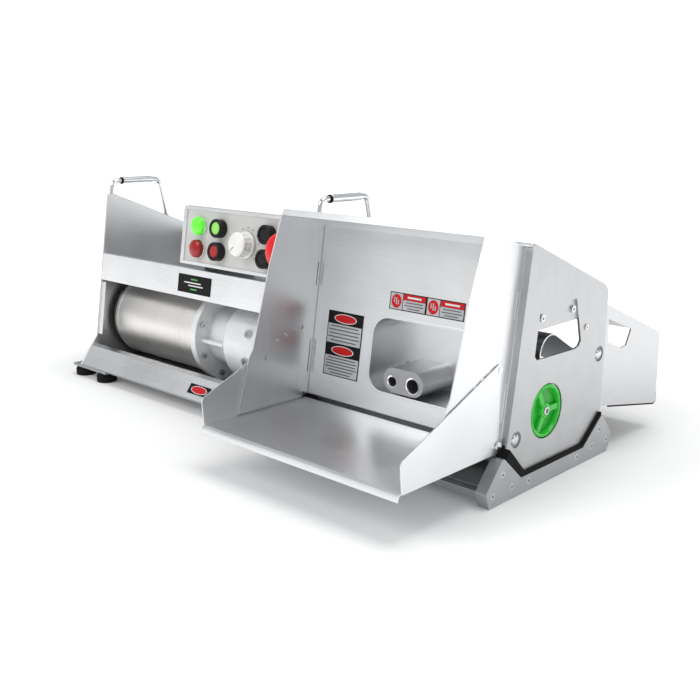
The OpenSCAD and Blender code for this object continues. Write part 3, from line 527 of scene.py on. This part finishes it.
screw_steel = steel("screw_steel", (0.62, 0.62, 0.63), 0.25, "X", 0.002, 0.1)
eased("gearbox_screws", 0.5, screw_steel)


# ---- Feed head casing ----
# Two thick side plates with a folded roof, a leaning front panel and a floor between them.  The
# side plates have a blasted skin with a fine grain; the front is brushed.
blasted = coated("blasted_steel", (0.53, 0.535, 0.54), 0.42, 0.0006, 0.35, metal=1.0)
head_front_steel = steel("head_front_steel", (0.76, 0.77, 0.78), 0.34, "X")
pocket_steel = steel("pocket_steel", (0.74, 0.75, 0.76), 0.40, "Z", 0.0005, 0.12)
for node, radius, paint in (
    ("head_left_side", 0.7, blasted),
    ("head_right_side", 0.8, blasted),
    ("head_cover", 0.6, sheet_along),
    ("head_floor", 0.6, sheet_along),
    ("front_panel", 0.4, head_front_steel),
    ("pocket_lining", 0.5, pocket_steel),
    ("roller_guard", 0.4, bright_along),
    ("hand_hole_cover", 0.5, blasted),
):
    eased(node, radius, paint)
milled = steel("milled_block", (0.66, 0.67, 0.68), 0.38, "X", 0.0012, 0.3)
block_steel = steel("chamfer_steel", (0.92, 0.92, 0.93), 0.14, "XZ", 0.002, 0.05)
block = eased("guide_block", 0.25, milled)
block.data.materials.append(coated("block_face", (0.40, 0.40, 0.41), 0.45, 0.0007, 0.5, metal=1.0))
for side in block.data.polygons:
    if side.normal.y < -0.95:
        side.material_index = 1
block_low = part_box("guide_block")[0]
for name, x, port_r in (("large", 307, 10), ("small", 271, 7)):
    front = Matrix.Translation((x * mm, block_low.y, 117.2 * mm)) @ Matrix.Rotation(math.pi / 2, 4, "X")
    bpy.ops.object.select_all(action="DESELECT")
    bpy.ops.mesh.primitive_circle_add(vertices=96, radius=(port_r + 1.7) * mm, location=(0, 0, 0))
    lip = bpy.context.active_object
    lip.name = f"{name}_port_chamfer"
    bpy.ops.object.mode_set(mode="EDIT")
    bpy.ops.mesh.select_mode(type="VERT")
    bpy.ops.mesh.select_all(action="SELECT")
    ring_radius = port_r + 1.7
    for next_radius, rise in ((port_r + 1.5, 0.25), (port_r + 0.2, -0.35), (port_r - 0.25, -1.4)):
        bpy.ops.mesh.extrude_region_move(TRANSFORM_OT_translate={"value": (0, 0, rise * mm)})
        growth = next_radius / ring_radius
        bpy.ops.transform.resize(value=(growth, growth, 1))
        ring_radius = next_radius
    bpy.ops.mesh.select_all(action="SELECT")
    bpy.ops.mesh.normals_make_consistent(inside=False)
    bpy.ops.object.mode_set(mode="OBJECT")
    wall = lip.modifiers.new("wall", "SOLIDIFY")
    wall.thickness = 0.15 * mm
    wall.offset = -1
    bpy.ops.object.modifier_apply(modifier="wall")
    lip.data.transform(front)
    bpy.ops.object.shade_smooth_by_angle(angle=math.radians(35))
    lip.data.materials.append(block_steel)
    fitted(lip, "frame")
eased("plate_screws", 0.35, screw_steel)


# ---- Hand wheel ----
# A green moulded wheel, recessed in the side plate: a round rim, three spokes and a hub that a
# socket screw clamps to the lower roller's shaft.
wheel_green = coated("wheel_green", (0.03, 0.56, 0.04), 0.24, 0.0008, 0.05, 0.3, shine=0.3)
# The web between the spokes is the same green moulding painted darker: painted shade in the recesses
# behind the rim and spokes.
wheel_green_painted_shade = coated("wheel_green_web_painted_shade", (0.015, 0.40, 0.03), 0.34, 0.0008, 0.05, 0.2, shine=0.25)
rim = turned(
    "hand_wheel_rim",
    [(29.6, 451.5), (34.6, 450.2), (36.2, 451.6), (36.5, 455), (36.4, 459.4), (35.4, 461.4), (33.4, 462.2),
     (31.4, 461.4), (30.2, 459), (29.6, 454.8)],
    along_x, wheel_green, "drive_line",
)
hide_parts("hand_wheel")
# The web takes the darker green: painted shade.
turned(
    "hand_wheel_web", [(6.05, 451), (30, 451), (30, 455), (6.05, 455.4)],
    along_x, wheel_green_painted_shade, "drive_line",
)
turned(
    "hand_wheel_hub",
    [(6.02, 450.5), (10.5, 450.5), (10.5, 459.8), (9.6, 461.2), (8.2, 461.8), (6.4, 461.8), (6.1, 460)],
    along_x, wheel_green, "drive_line",
)
for number in range(3):
    bpy.ops.object.select_all(action="DESELECT")
    bpy.ops.mesh.primitive_cube_add(size=1)
    spoke = bpy.context.active_object
    spoke.name = f"hand_wheel_spoke_{number + 1}"
    spoke.data.transform(Matrix.Diagonal((7.4 * mm, 8.6 * mm, 22.5 * mm, 1)))
    bpy.ops.object.mode_set(mode="EDIT")
    bpy.ops.mesh.select_all(action="SELECT")
    bpy.ops.mesh.bevel(offset=0.0012, segments=3)
    bpy.ops.object.mode_set(mode="OBJECT")
    spoke.data.transform(
        Matrix.Translation((456.6 * mm, axis_y * mm, axis_z * mm))
        @ Matrix.Rotation(math.radians(30 + 120 * number), 4, "X")
        @ Matrix.Translation((0, 0, 19.4 * mm))
    )
    bpy.ops.object.shade_smooth_by_angle(angle=math.radians(35))
    spoke.data.materials.append(wheel_green)
    fitted(spoke, "drive_line")
turned(
    "hand_wheel_screw",
    [(5.9, 458.1), (5.9, 462.6), (5.3, 463.1), (3.2, 463.2), (3.0, 460.6)],
    along_x, screw_steel, "drive_line", 48,
)


# ---- Hood and feed tray ----
# The guard hood is folded and welded stainless, 1.8 mm thick, open at the front.  The tray hangs
# on two pins outside its cheeks and can be set to six angles.
hood_steel = steel("hood_steel", (0.78, 0.79, 0.80), 0.36, "Z", 0.0009, 0.2)
tray_steel = steel("tray_steel", (0.80, 0.81, 0.82), 0.32, "X", 0.0006, 0.12)
eased("hood", 0.5, hood_steel)
eased("feed_tray", 0.5, tray_steel)
eased("pivot_pins", 0.3, polished)


# ---- Discharge chute, skids and cradle ----
# The chute is an open sheet channel with hand holes and a rubber edge.  The head rests in rubber
# on two thick blasted skids, which a plate and two bars join.
eased("discharge_chute", 0.5, steel("chute_steel", (0.58, 0.585, 0.59), 0.36, "Y"))
eased("rubber_trims", 0.8, black_rubber)
skid_steel = coated("skid_steel", (0.46, 0.47, 0.48), 0.36, 0.0005, 0.4, metal=1.0)
eased("skids", 2.0, skid_steel, 3)
# The cradle plate and bars under the drive unit take the darker bay steel: painted shade.
eased("cradle_base", 0.8, bay_steel_painted_shade)


# ---- Inner works ----
# Rollers, frames, shafts, gears and the parts inside the motor and gearbox: machined steel, bronze
# and wound copper, mostly hidden by the casings.
dark_steel = coated("dark_machined_steel", (0.16, 0.16, 0.17), 0.35, metal=1.0)
bronze = coated("gear_bronze", (0.55, 0.38, 0.16), 0.3, metal=1.0)
copper = coated("wound_copper", (0.50, 0.22, 0.09), 0.35, 0.0012, 0.6, metal=0.8)
inner_paint = {
    "dark_steel": dark_steel,
    "bronze": bronze,
    "copper_winding": copper,
    "polished_rod": polished,
    "black_plastic": black_plastic,
}
for node, part in frame["nodes"].items():
    if not part.hide_render:
        part.data.materials.clear()
        part.data.materials.append(inner_paint.get(slot_of[node], dark_steel))

# ---- Studio ----
# A plain white floor runs far past the machine and fades into white air, and three broad soft
# lights hang round it.  The camera stands at the front right, a little above the hood.
bpy.ops.object.select_all(action="DESELECT")
bpy.ops.mesh.primitive_plane_add(size=60, location=(0, 0, -0.0005))
floor = bpy.context.active_object
floor.name = "studio_floor"
floor_paint, floor_nodes, floor_links = blank("studio_floor_paint")
floor_shader = floor_nodes["Principled BSDF"]
floor_shader.inputs["Base Color"].default_value = (0.93, 0.93, 0.93, 1)
floor_shader.inputs["Roughness"].default_value = 0.75
floor_shader.inputs["Specular IOR Level"].default_value = 0.2
floor_spot = floor_nodes.new("ShaderNodeTexCoord")
floor_reach = floor_nodes.new("ShaderNodeVectorMath")
floor_reach.operation = "LENGTH"
floor_fade = floor_nodes.new("ShaderNodeMapRange")
floor_fade.interpolation_type = "SMOOTHSTEP"
floor_fade.inputs["From Min"].default_value = 0.45
floor_fade.inputs["From Max"].default_value = 1.25
floor_fade.inputs["To Min"].default_value = 0.06
floor_fade.inputs["To Max"].default_value = 0.8
floor_links.new(floor_spot.outputs["Object"], floor_reach.inputs[0])
floor_links.new(floor_reach.outputs["Value"], floor_fade.inputs["Value"])
floor_links.new(floor_fade.outputs["Result"], floor_shader.inputs["Emission Strength"])
floor_shader.inputs["Emission Color"].default_value = (1, 1, 1, 1)
floor.data.materials.append(floor_paint)

scene.view_settings.view_transform = "Standard"
sky = bpy.data.worlds.new("studio_air")
sky.use_nodes = True
sky_nodes = sky.node_tree.nodes
sky_links = sky.node_tree.links
air = sky_nodes["Background"]
sky_place = sky_nodes.new("ShaderNodeTexCoord")
sky_split = sky_nodes.new("ShaderNodeSeparateXYZ")
sky_ramp = sky_nodes.new("ShaderNodeValToRGB")
sky_links.new(sky_place.outputs["Generated"], sky_split.inputs[0])
sky_links.new(sky_split.outputs["Z"], sky_ramp.inputs["Fac"])
sky_links.new(sky_ramp.outputs["Color"], air.inputs["Color"])
sky_ramp.color_ramp.elements[0].position = 0.0
sky_ramp.color_ramp.elements[0].color = (1.0, 1.0, 1.0, 1)
sky_ramp.color_ramp.elements[1].position = 0.6
sky_ramp.color_ramp.elements[1].color = (0.66, 0.67, 0.68, 1)
band = sky_ramp.color_ramp.elements.new(0.22)
band.color = (0.60, 0.61, 0.62, 1)
air.inputs["Strength"].default_value = 0.78
backdrop = sky_nodes.new("ShaderNodeBackground")
backdrop.inputs["Color"].default_value = (1, 1, 1, 1)
backdrop.inputs["Strength"].default_value = 1.05
seen = sky_nodes.new("ShaderNodeLightPath")
choose = sky_nodes.new("ShaderNodeMixShader")
sky_links.new(seen.outputs["Is Camera Ray"], choose.inputs["Fac"])
sky_links.new(air.outputs["Background"], choose.inputs[1])
sky_links.new(backdrop.outputs["Background"], choose.inputs[2])
sky_links.new(choose.outputs["Shader"], sky_nodes["World Output"].inputs["Surface"])
scene.world = sky


def softbox(name, spot, aim, size, power):
    lamp = bpy.data.lights.new(name, "AREA")
    lamp.shape = "DISK"
    lamp.size = size
    lamp.energy = power
    holder = bpy.data.objects.new(name, lamp)
    scene.collection.objects.link(holder)
    holder.location = spot
    holder.rotation_euler = (Vector(aim) - Vector(spot)).to_track_quat("-Z", "Y").to_euler()


softbox("key_light", (-0.9, -2.1, 2.0), (-0.1, 0, 0.12), 1.6, 25)
softbox("top_light", (0.5, 0.3, 2.6), (0.1, 0, 0.1), 1.8, 30)
softbox("side_light", (2.6, 0.5, 1.1), (0.4, 0, 0.15), 1.2, 4)

camera = bpy.data.objects.new("camera", bpy.data.cameras.new("camera"))
scene.collection.objects.link(camera)
camera.location = (1.0932, -1.0596, 0.480)
camera.rotation_euler = Vector((-0.6652, 0.7053, -0.2449)).to_track_quat("-Z", "Y").to_euler()
camera.data.lens = 49.17
scene.camera = camera
